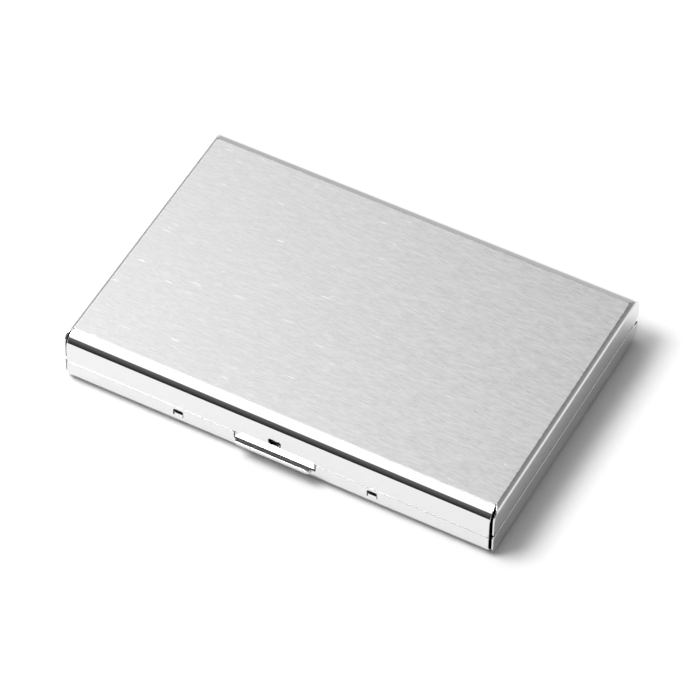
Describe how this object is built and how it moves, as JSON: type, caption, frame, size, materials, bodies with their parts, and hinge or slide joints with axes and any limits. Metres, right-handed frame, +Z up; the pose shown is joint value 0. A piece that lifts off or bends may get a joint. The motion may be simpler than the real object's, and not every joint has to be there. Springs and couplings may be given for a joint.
{
  "type": "business card case",
  "caption": "Slim folded-steel card case: two shells on a knuckle hinge, a sprung front latch with a thumb tab, and a pleated card insert.",
  "frame": {"origin": "centre of the flat rest face, under the middle of the closed case", "axes": "+X along the hinge, +Y from the latch to the hinge, +Z up from the rest face to the lid"},
  "size_m": [0.096, 0.0666, 0.0128],
  "materials": {
    "brushed_steel": "brushed along the length, polished edges",
    "spring_steel": "bright spring steel",
    "pin_steel": "drawn wire, satin",
    "leaf_film": "matt black film with a fine grain",
    "pleat_film": "thin matt black film",
    "tape": "white double-sided tape"
  },
  "bodies": {
    "base": {"lower_shell": "brushed_steel", "hinge_pin": "pin_steel", "tape_lower": "tape", "end_sheet_lower": "leaf_film", "gusset_left_1": "pleat_film", "gusset_left_2": "pleat_film", "gusset_left_3": "pleat_film", "gusset_left_4": "pleat_film", "gusset_left_5": "pleat_film", "gusset_left_6": "pleat_film", "gusset_right_1": "pleat_film", "gusset_right_2": "pleat_film", "gusset_right_3": "pleat_film", "gusset_right_4": "pleat_film", "gusset_right_5": "pleat_film", "gusset_right_6": "pleat_film", "spine_web": "pleat_film"},
    "lid": {"upper_shell": "brushed_steel", "tape_upper": "tape", "end_sheet_upper": "leaf_film"},
    "latch": {"latch_plate": "spring_steel"},
    "divider_1": {"divider_1": "leaf_film"},
    "divider_2": {"divider_2": "leaf_film"},
    "divider_3": {"divider_3": "leaf_film"},
    "divider_4": {"divider_4": "leaf_film"},
    "divider_5": {"divider_5": "leaf_film"}
  },
  "joints": [
    {"name": "lid_hinge", "type": "hinge", "parent": "base", "child": "lid", "pos_m": [0, 0.0315, 0.0058], "axis": [-1, 0, 0], "range_deg": [0, 30], "deforming": ["gusset_left_1", "gusset_left_2", "gusset_left_3", "gusset_left_4", "gusset_left_5", "gusset_left_6", "gusset_right_1", "gusset_right_2", "gusset_right_3", "gusset_right_4", "gusset_right_5", "gusset_right_6", "spine_web"]},
    {"name": "latch_spring", "type": "hinge", "parent": "base", "child": "latch", "pos_m": [0, -0.03175, 0.0033], "axis": [-1, 0, 0], "range_deg": [0, 8], "stiffness_Nm_per_rad": 0.03, "springref_deg": -5.73},
    {"name": "divider_1_turn", "type": "hinge", "parent": "base", "child": "divider_1", "pos_m": [0, 0.0315, 0.0058], "axis": [-1, 0, 0], "range_deg": [0, 5.2]},
    {"name": "divider_2_turn", "type": "hinge", "parent": "base", "child": "divider_2", "pos_m": [0, 0.0315, 0.0058], "axis": [-1, 0, 0], "range_deg": [0, 10.2]},
    {"name": "divider_3_turn", "type": "hinge", "parent": "base", "child": "divider_3", "pos_m": [0, 0.0315, 0.0058], "axis": [-1, 0, 0], "range_deg": [0, 15.2]},
    {"name": "divider_4_turn", "type": "hinge", "parent": "base", "child": "divider_4", "pos_m": [0, 0.0315, 0.0058], "axis": [-1, 0, 0], "range_deg": [0, 20.2]},
    {"name": "divider_5_turn", "type": "hinge", "parent": "base", "child": "divider_5", "pos_m": [0, 0.0315, 0.0058], "axis": [-1, 0, 0], "range_deg": [0, 25.2]}
  ],
  "couplings": [
    {"joint": "divider_1_turn", "follows": "lid_hinge", "ratio": 0.16667},
    {"joint": "divider_2_turn", "follows": "lid_hinge", "ratio": 0.33333},
    {"joint": "divider_3_turn", "follows": "lid_hinge", "ratio": 0.5},
    {"joint": "divider_4_turn", "follows": "lid_hinge", "ratio": 0.66667},
    {"joint": "divider_5_turn", "follows": "lid_hinge", "ratio": 0.83333}
  ]
}
